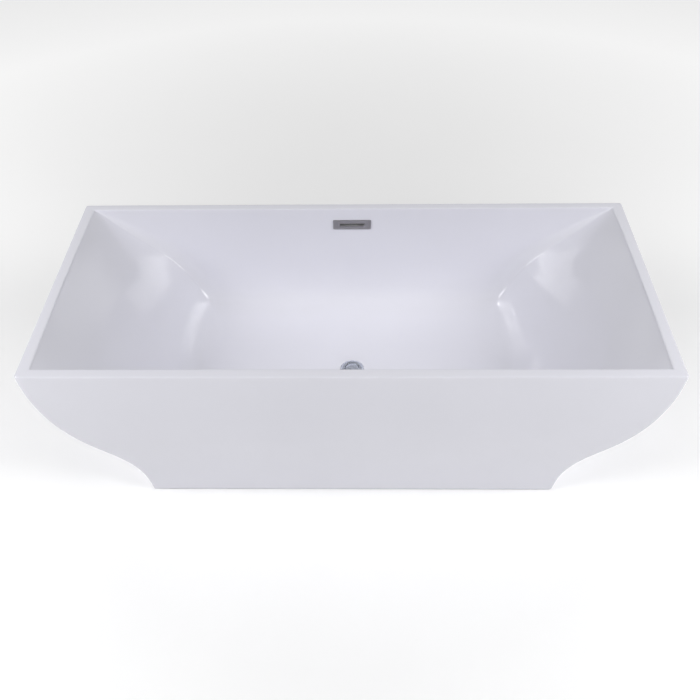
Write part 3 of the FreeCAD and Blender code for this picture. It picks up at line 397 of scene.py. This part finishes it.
def build_basin():
    rows = well_rows()
    outline = well_ring(rows[0])
    loops = []
    # floor: waste hole, recess, then out to the foot of the walls
    for r, z in ((26.0, 210.0), (26.0, 211.2), (26.0, 212.1), (26.4, 212.5), (31.0, 212.5), (35.6, 212.5), (36.6, 212.9), (37.2, 213.9), (37.8, 214.8), (38.8, 215.0)):
        loops.append(circle_ring(outline, r, z))
    c = circle_ring(outline, 42.0, 215.0)
    for k in range(14):
        w = (k / 14.0) ** 0.9
        loops.append(c * (1 - w) + outline * w)
    # walls up to the rim's inner edge
    body = [well_ring(r) for r in rows]
    edge = 2.2
    cut = [i for i in range(len(rows)) if rows[i, 0] < 580 - edge * 1.0]
    well = body[:cut[-1] + 1]
    loops += well
    # small round from wall to rim
    low = well[-1]
    flat_in = well_ring((580.0, 825.0, 349.0, 823.0, 1.0, 4.0))
    for w in (0.25, 0.5, 0.75, 1.0):
        ang = w * math.pi / 2
        step = low + (flat_in - low) * (1 - math.cos(ang))
        step[:, 2] = low[0, 2] + (580.0 - low[0, 2]) * math.sin(ang)
        loops.append(step)
    top_in = loops[-1]
    # flat rim, rounded outer edge, lip
    outer = lambda inset, z: ring(850.0 - inset, 375.0 - inset, 0.0, max(8.0 - inset, 1.5), z)
    e = 4.0
    flat = outer(e, 580.0)
    for w in (0.33, 0.66):
        loops.append(top_in * (1 - w) + flat * w)
    for k in range(7):
        ang = k / 6 * math.pi / 2
        loops.append(outer(e * (1 - math.sin(ang)), 580.0 - e * (1 - math.cos(ang))))
    loops += [outer(0, 571.0), outer(0, 566.6), outer(0, 566.0), outer(1.0, 566.0), outer(4.6, 566.0), outer(5.0, 566.0), outer(5.0, 570.0), outer(5.0, 574.0)]
    # underside of the rim, back to the shell, down its outside
    G = np.array(body)
    du = np.gradient(G, axis=0)
    dv = np.roll(G, -1, axis=1) - np.roll(G, 1, axis=1)
    nrm = np.cross(dv, du)
    nrm /= np.linalg.norm(nrm, axis=2)[:, :, None]
    if nrm[-20, :, :2].dot([1, 0]).max() < 0 or (nrm[-20, 0, 1] > 0):
        nrm = -nrm
    off = G + 5.0 * nrm
    pick = [i for i in range(0, len(rows), 3) if 216.5 < rows[i, 0] < 572.0]
    last = off[pick[-1]]
    top_shell = last.copy()
    top_shell[:, 2] = 574.0
    top_shell[:, :2] = top_shell[:, :2] + (off[-1][:, :2] - last[:, :2]) * 0.4
    lip = loops[-1]
    for w in (0.3, 0.6, 1.0):
        loops.append(lip * (1 - w) + top_shell * w)
    for i in reversed(pick):
        loops.append(off[i])
    under = outline.copy()
    under[:, 2] = 210.0
    loops.append(under)
    for w in (0.7, 0.4, 0.15):
        base = circle_ring(outline, 42.0, 210.0)
        loops.append(base * (1 - w) + under * w)
    loops.append(circle_ring(outline, 36.0, 210.0))
    o = outward(grid_mesh("basin_shell", loops))
    # opening through the long wall for the overflow
    bm = bmesh.new()
    bmesh.ops.create_cube(bm, size=1.0)
    me = bpy.data.meshes.new("overflow_cutter")
    bm.to_mesh(me)
    bm.free()
    cut = bpy.data.objects.new("overflow_cutter", me)
    scene.collection.objects.link(cut)
    cut.scale = (0.098, 0.06, 0.024)
    cut.location = (0, 0.345, 0.524)
    mod = o.modifiers.new("opening", "BOOLEAN")
    mod.operation = "DIFFERENCE"
    mod.solver = "EXACT"
    mod.object = cut
    bpy.context.view_layer.update()
    dg = bpy.context.evaluated_depsgraph_get()
    new = bpy.data.meshes.new_from_object(o.evaluated_get(dg))
    o.modifiers.clear()
    o.data = new
    bpy.data.objects.remove(cut)
    for p in o.data.polygons:
        p.use_smooth = True
    sharp(o, 40)
    return o


# ------------------------------------------------------------------ skirt
SKIRT = np.array([
    (3, 618.0), (28, 620.5), (50, 623.5), (72, 627.5), (96, 634.5), (120, 644.0), (144, 656.0), (168, 670.5),
    (194, 689.0), (221, 711.5), (248, 734.5), (273, 753.5), (297, 770.0), (319, 783.0), (342, 795.5),
    (370, 808.5), (400, 820.2), (437, 831.5), (474, 840.3), (505, 845.6), (537, 848.8), (566, 850.0)])


def side(x):
    return 375.0 - 60.0 * (850.0 - x) / 232.0


def build_skirt():
    z = np.linspace(3.0, 566.0, 141)
    x = relax(spline(SKIRT[:, 0], SKIRT[:, 1], z), 80)
    slope = np.gradient(x, z)
    y = side(x)
    lean = slope * 60.0 / 232.0
    mk = lambda hx, hy, r, h: np.column_stack([rounded_section(hx, hy, 0.0, r, 40, 12, 20), np.full(2 * (2 * (40 + 12 + 20)), float(h))])
    out, inn = [], []
    for i in range(len(z)):
        if z[i] < 7.5:
            continue
        out.append(mk(x[i], y[i], 8.0, z[i]))
    b = 3.0
    foot = []
    x3, y3 = x[0], y[0]
    for k in range(6):
        a = k / 5 * math.pi / 2
        foot.append(mk(x3 - b * (1 - math.sin(a)), y3 - b * (1 - math.sin(a)), 6.0 + 2 * math.sin(a), 3.0 + b * (1 - math.cos(a))))
    t = 5.0
    for i in range(len(z) - 1, -1, -4):
        kx, ky = math.hypot(1, slope[i]), math.hypot(1, lean[i])
        inn.append(mk(x[i] - t * kx, y[i] - t * ky, 4.0, z[i]))
    inn[-1][:, 2] = 4.0
    tip = mk(x3 - t + 0.6, y3 - t + 0.6, 4.5, 3.0)
    loops = foot + out + [mk(x[-1] - 1.5, y[-1] - 1.5, 7.0, 566.0)] + inn + [tip]
    o = outward(grid_mesh("skirt_shell", loops))
    sharp(o, 45)
    return o


basin = finish_piece(build_basin(), "white_acrylic", "tub", "basin")
skirt = finish_piece(build_skirt(), "white_acrylic", "tub", "skirt")

# ------------------------------------------------------------------ turned and drawn fittings
def soften(points, closed=True, seg=5):
    """Rounds the corners of an outline of (u, v, radius)."""
    n, out = len(points), []
    for i, (u, v, r) in enumerate(points):
        p = np.array([u, v], float)
        if r <= 0 or (not closed and i in (0, n - 1)):
            out.append(p)
            continue
        a = np.array(points[i - 1][:2], float) - p
        b = np.array(points[(i + 1) % n][:2], float) - p
        la, lb = np.linalg.norm(a), np.linalg.norm(b)
        a, b = a / la, b / lb
        half = math.acos(max(-1.0, min(1.0, float(a @ b)))) / 2
        cut = min(r / math.tan(half), 0.45 * la, 0.45 * lb)
        rad = cut * math.tan(half)
        bis = (a + b) / np.linalg.norm(a + b)
        centre = p + bis * rad / math.sin(half)
        s0, s1 = p + a * cut - centre, p + b * cut - centre
        w0 = math.atan2(s0[1], s0[0])
        dw = (math.atan2(s1[1], s1[0]) - w0 + math.pi) % (2 * math.pi) - math.pi
        for k in range(seg + 1):
            w = w0 + dw * k / seg
            out.append(centre + rad * np.array([math.cos(w), math.sin(w)]))
    return np.array(out)


def lathe(name, points, at=(0, 0), n=96, closed=True, seg=5, wobble=None):
    """Turned solid from an outline of (radius, height, corner radius); an open outline starts and ends on the axis."""
    prof = soften(points, closed, seg)
    w = np.linspace(0, 2 * math.pi, n, endpoint=False)
    cosw, sinw = np.cos(w), np.sin(w)
    verts, faces = [], []
    rows = []
    for r, h in prof:
        if r < 1e-6:
            rows.append([len(verts)])
            verts.append((at[0], at[1], h))
        else:
            rows.append(list(range(len(verts), len(verts) + n)))
            rr = np.full(n, r) if wobble is None else wobble(r, h, w)
            verts += [(at[0] + q * c, at[1] + q * d, h) for q, c, d in zip(rr, cosw, sinw)]
    pairs = list(zip(rows, rows[1:] + rows[:1])) if closed else list(zip(rows, rows[1:]))
    for a, b in pairs:
        for k in range(n):
            m1 = (k + 1) % n
            if len(a) == 1 and len(b) == 1:
                continue
            if len(a) == 1:
                faces.append((a[0], b[m1], b[k]))
            elif len(b) == 1:
                faces.append((a[k], a[m1], b[0]))
            else:
                faces.append((a[k], a[m1], b[m1], b[k]))
    me = bpy.data.meshes.new(name)
    me.from_pydata((np.array(verts) * MM).tolist(), [], faces)
    me.update()
    o = bpy.data.objects.new(name, me)
    scene.collection.objects.link(o)
    return outward(o)


def rounded_box_ring(hx, hz, r, k=14, m=8):
    """Ring in the XZ plane round the origin, the same number of points for every size."""
    q = []
    for cx, cz, w0, (x0, z0), (x1, z1) in (
            (hx - r, -hz + r, -90, (-hx + r, -hz), (hx - r, -hz)), (hx - r, hz - r, 0, (hx, -hz + r), (hx, hz - r)),
            (-hx + r, hz - r, 90, (hx - r, hz), (-hx + r, hz)), (-hx + r, -hz + r, 180, (-hx, hz - r), (-hx, -hz + r))):
        for i in range(k):
            q.append((x0 + (x1 - x0) * i / k, z0 + (z1 - z0) * i / k))
        for i in range(m):
            w = math.radians(w0 + 90 * i / m)
            q.append((cx + r * math.cos(w), cz + r * math.sin(w)))
    return np.array(q)


FL = 215.0
flange = lathe("drain_flange_ring", [
    (19.5, FL - 12, 0.4), (19.5, FL - 4.7, 0.5), (22.7, FL - 4.7, 0.5), (23.5, FL - 3.6, 0.8), (23.5, FL + 0.5, 0.0), (23.7, FL + 1.25, 0.5),
    (24.8, FL + 1.8, 1.0), (29.5, FL + 2.0, 8.0), (33.0, FL + 1.5, 4.0), (35.0, FL + 0.6, 0.6), (35.5, FL + 0.1, 0.2), (35.5, FL - 1, 0.2), (25.2, FL - 1, 0.5),
    (25.2, FL - 29, 0.5), (22.0, FL - 29, 0.5), (22.0, FL - 12, 0.5)], n=160, seg=5)
finish_piece(sharp(flange, 50), "chrome", "tub", "drain_flange")
cap = lathe("plug_cap_disc", [(0.0, FL - 1.8, 0), (20.8, FL - 1.8, 0.3), (21.6, FL - 1.0, 0.4), (21.6, FL + 1.1, 0.8), (20.6, FL + 2.1, 0.9),
                              (17.0, FL + 2.75, 6.0), (9.0, FL + 3.15, 12.0), (0.0, FL + 3.3, 0)], n=128, closed=False, seg=6)
finish_piece(sharp(cap, 60), "chrome", "plug", "plug_cap")
seal = lathe("plug_seal_ring", [(4.2, FL - 4.4, 0.3), (22.2, FL - 4.4, 0.5), (22.8, FL - 3.6, 0.5), (21.8, FL - 1.9, 0.4), (4.2, FL - 1.9, 0.3)], n=96)
finish_piece(seal, "black_rubber", "plug", "plug_seal")

# overflow plate, in its own tilted frame at the wall's face
AT, TILT = (0.0, 342.05, 524.0), math.radians(-4.9)


def tilted(loops):
    c, s = math.cos(TILT), math.sin(TILT)
    out = []
    for xz, y in loops:
        x, z = xz[:, 0], xz[:, 1]
        out.append(np.column_stack([AT[0] + x, AT[1] + y * c - z * s, AT[2] + y * s + z * c]))
    return out


rb = rounded_box_ring
rows = [(rb(60.5, 16.5, 3.0), -0.1), (rb(60.5, 16.5, 3.0), -0.9), (rb(60.5, 16.5, 3.0), -1.8)]
for w in (20, 40, 60, 80, 90):
    i = 0.8 * (1 - math.cos(math.radians(w)))
    rows.append((rb(60.5 - i, 16.5 - i, 3.0 - i), -1.8 - 0.8 * math.sin(math.radians(w))))
for w in (0.35, 0.7):
    rows.append((rb(59.7, 15.7, 2.2) * (1 - w) + rb(39.1, 5.1, 2.6) * w, -2.6))
for w in (90, 60, 30, 0):
    i = 0.6 * (1 - math.cos(math.radians(w)))
    rows.append((rb(38.5 + i, 4.5 + i, 2.0 + i), -2.0 - 0.6 * math.sin(math.radians(w))))
rows += [(rb(38.5, 4.5, 2.0), -1.0), (rb(38.5, 4.5, 2.0), -0.1), (rb(38.5, 4.5, 2.0) * 0.5 + rb(60.5, 16.5, 3.0) * 0.5, -0.1)]
finish_piece(sharp(outward(grid_mesh("overflow_cover", tilted(rows))), 50), "satin_chrome", "tub", "overflow_plate")

# overflow hose: corrugated, along straight runs joined by arcs, with plain cuffs at its ends
c, s = math.cos(-TILT), math.sin(-TILT)
y0, z0 = AT[1] + 15.5 * c - 18.5 * s, AT[2] - 18.5 * c - 15.5 * s
route = [np.array(q) for q in ((y0, z0), (y0 - (z0 - 415.0) / c * s, 415.0), (341.2, 330.0), (327.5, 268.0), (285.0, 196.0), (200.0, 176.0), (42.0, 176.0))]
runs = [np.linalg.norm(route[i + 1] - route[i]) for i in range(len(route) - 1)]
line = [route[0]]
for i in range(1, len(route) - 1):
    d0, d1 = (route[i] - route[i - 1]) / runs[i - 1], (route[i + 1] - route[i]) / runs[i]
    turn = math.acos(min(1.0, float(d0 @ d1)))
    cut = 0.45 * min(runs[i - 1], runs[i])
    r = cut / math.tan(turn / 2)
    s0 = route[i] - d0 * cut
    side_dir = d1 - d0 * float(d0 @ d1)
    side_dir /= np.linalg.norm(side_dir)
    steps = max(6, int(r * turn / 1.5))
    for k in range(steps + 1):
        w = turn * k / steps
        line.append(s0 + d0 * r * math.sin(w) + side_dir * r * (1 - math.cos(w)))
line.append(route[-1])
line = np.array(line)
arc = np.concatenate([[0], np.cumsum(np.linalg.norm(np.diff(line, axis=0), axis=1))])
keep = np.concatenate([[True], np.diff(arc) > 1e-6])
line, arc = line[keep], arc[keep]
total = arc[-1]
PITCH, PER = 4.2, 6
body_u = np.arange(14.0, total - 14.0, PITCH / PER)
u = np.concatenate([[0, 0.4, 6.0, 12.0, 13.0], body_u, [total - 13.0, total - 12.0, total - 6.0, total - 0.4, total]])
rad = np.full(len(u), 9.5)
wave = 8.85 + 0.65 * np.cos(2 * math.pi * (body_u - 14.0) / PITCH)
rad[5:5 + len(body_u)] = wave
rad[0] = rad[-1] = 9.2
cy, cz = np.interp(u, arc, line[:, 0]), np.interp(u, arc, line[:, 1])
ty, tz = np.gradient(cy, u), np.gradient(cz, u)
tl = np.hypot(ty, tz)
ty, tz = ty / tl, tz / tl
w = np.linspace(0, 2 * math.pi, 32, endpoint=False)


def tube_ring(k, r):
    return np.column_stack([r * np.cos(w), cy[k] - tz[k] * r * np.sin(w), cz[k] + ty[k] * r * np.sin(w)])


rows = [tube_ring(k, rad[k]) for k in range(len(u))]
rows += [tube_ring(k, 8.08) for k in range(len(u) - 1, -1, -4)] + [tube_ring(0, 8.08)] if (len(u) - 1) % 4 else [tube_ring(k, 8.08) for k in range(len(u) - 1, -1, -4)]
finish_piece(outward(grid_mesh("corrugated_hose", rows)), "hose_plastic", "tub", "overflow_hose")

# feet: moulded pads with grip rings
for name, x, y in (("front_left", -440, -210), ("front_right", 440, -210), ("back_left", -440, 210), ("back_right", 440, 210),
                   ("middle_left", -150, 0), ("middle_right", 150, 0)):
    pad_o = lathe("pad_" + name, [(0.0, 0.0, 0), (9.0, 0.0, 0.3), (9.6, 0.7, 0.3), (11.4, 0.7, 0.3), (12.0, 0.0, 0.3), (16.0, 0.0, 0.3), (16.6, 0.7, 0.3), (18.4, 0.7, 0.3), (19.0, 0.0, 0.3),
                                  (23.4, 0.0, 0.4), (25.0, 1.4, 1.2), (25.0, 5.2, 1.4), (22.0, 8.6, 2.5), (12.2, 14.6, 2.0), (10.5, 18.0, 0.8),
                                  (6.05, 18.0, 0.4), (6.05, 8.0, 0.0), (0.0, 8.0, 0)], at=(x, y), n=72, closed=False, seg=4)
    finish_piece(sharp(pad_o, 45), "black_rubber", "foot_" + name, "foot_pad_" + name)

# ------------------------------------------------------------------ camera
F, CY = 773.95, 365.05
th, psi, rho = 0.80939, -0.02877, -0.02164
fwd = Vector((math.sin(psi) * math.cos(th), math.cos(psi) * math.cos(th), -math.sin(th)))
right = Vector((math.cos(psi), -math.sin(psi), 0))
up = right.cross(fwd)
r_ax = math.cos(rho) * right + math.sin(rho) * up
u_ax = -math.sin(rho) * right + math.cos(rho) * up
cam_data = bpy.data.cameras.new("camera")
cam = bpy.data.objects.new("camera", cam_data)
scene.collection.objects.link(cam)
cam_data.sensor_width = 36.0
cam_data.lens = 36.0 * F / 700.0
cam_data.shift_y = (CY - 350.0) / 700.0
cam_data.clip_end = 100.0
rot = Matrix((r_ax, u_ax, -fwd)).transposed()
cam.matrix_world = Matrix.Translation((0.04225, -1.6920, 2.0068)) @ rot.to_4x4()
scene.camera = cam

# ------------------------------------------------------------------ floor and light
bm = bmesh.new()
bmesh.ops.create_grid(bm, x_segments=8, y_segments=8, size=12.0)
me = bpy.data.meshes.new("studio_floor")
bm.to_mesh(me)
bm.free()
floor = bpy.data.objects.new("studio_floor", me)
scene.collection.objects.link(floor)
m, nt, p = material("studio_floor", (0.92, 0.92, 0.92), 0.6)
p.inputs["Emission Color"].default_value = (1, 1, 1, 1)
FLOOR_GLOW = 0.88
v = coords(nt)
nt.links.new(ramp(nt, noise(nt, v, 1.5, 2.0), [(0.3, (0.915, 0.915, 0.915)), (0.7, (0.93, 0.93, 0.93))]), p.inputs["Base Color"])
# painted glow: the floor sweep emits light of its own, faint next to the tub and brighter away from it
away = nt.nodes.new("ShaderNodeVectorMath")
away.operation = "LENGTH"
nt.links.new(v, away.inputs[0])
painted_glow_ramp = nt.nodes.new("ShaderNodeMapRange")
for socket, value in (("From Min", 0.9), ("From Max", 3.2), ("To Min", 0.10 * FLOOR_GLOW), ("To Max", 0.58 * FLOOR_GLOW)):
    painted_glow_ramp.inputs[socket].default_value = value
nt.links.new(away.outputs["Value"], painted_glow_ramp.inputs["Value"])
nt.links.new(painted_glow_ramp.outputs["Result"], p.inputs["Emission Strength"])
floor.data.materials.append(m)

# soft light from all round: an even base and broad lobes, each (direction, exponent, strength)
WORLD = 0.02
LOBES = {
    "w_front_high": ((0, -0.7, 0.7), 3.0, 0.28),
    "w_back": ((0, 1, 0.5), 3.0, 0.42),
    "w_front_left": ((-0.7, -0.7, 0.5), 6.0, 0.10),
    "w_window_right": ((0.665, 0.68, 0.29), 140.0, 1.2),
    "w_window_left": ((-0.62, 0.72, 0.30), 140.0, 0.9),
}
world = bpy.data.worlds.new("studio")
world.use_nodes = True
scene.world = world
wt = world.node_tree
bg = wt.nodes["Background"]
bg.inputs["Color"].default_value = (1, 1, 1, 1)
tc = wt.nodes.new("ShaderNodeTexCoord")


def wmath(op, x, y):
    n = wt.nodes.new("ShaderNodeMath")
    n.operation = op
    for i, v in enumerate((x, y)):
        if isinstance(v, (int, float)):
            n.inputs[i].default_value = v
        else:
            wt.links.new(v, n.inputs[i])
    return n.outputs[0]


glow = float(WORLD)
for direction, power, strength in LOBES.values():
    if strength <= 0:
        continue
    dot = wt.nodes.new("ShaderNodeVectorMath")
    dot.operation = "DOT_PRODUCT"
    wt.links.new(tc.outputs["Generated"], dot.inputs[0])
    dot.inputs[1].default_value = Vector(direction).normalized()
    lobe = wmath("MULTIPLY", wmath("POWER", wmath("MAXIMUM", dot.outputs["Value"], 0.0), power), strength)
    glow = wmath("ADD", glow, lobe)
if isinstance(glow, float):
    bg.inputs["Strength"].default_value = glow
else:
    # the backdrop itself is plain and pale where it is looked at directly; the lobes only light the tub
    seen = wt.nodes.new("ShaderNodeLightPath").outputs["Is Camera Ray"]
    lit = wmath("MULTIPLY", glow, wmath("SUBTRACT", 1.0, seen))
    wt.links.new(wmath("ADD", lit, wmath("MULTIPLY", seen, 0.9)), bg.inputs["Strength"])


def area(name, loc, target, size, size_y, power, color=(1, 1, 1)):
    d = bpy.data.lights.new(name, "AREA")
    d.shape = "RECTANGLE"
    d.size, d.size_y = size, size_y
    d.energy = power
    d.color = color
    o = bpy.data.objects.new(name, d)
    scene.collection.objects.link(o)
    o.location = loc
    o.rotation_mode = "QUATERNION"
    o.rotation_quaternion = (Vector(target) - Vector(loc)).to_track_quat("-Z", "Y")
    return o


LIGHTS = {
    "a_left": ((-3.0, -1.2, 2.6), (0, 0, 0.4), 1.5, 1.7, 84.0),
    "a_right": ((3.0, -1.2, 2.6), (0, 0, 0.4), 1.5, 1.7, 86.0),
    "s_left": ((-2.6, -0.4, 3.0), (0, 0, 0.4), 0.22, 0.22, 4.0),
    "s_right": ((2.4, -0.3, 3.0), (0, 0, 0.4), 0.22, 0.22, 4.0),
}
for light_name, (loc, target, sx, sy, power) in LIGHTS.items():
    if power > 0:
        area(light_name, loc, target, sx, sy, power)
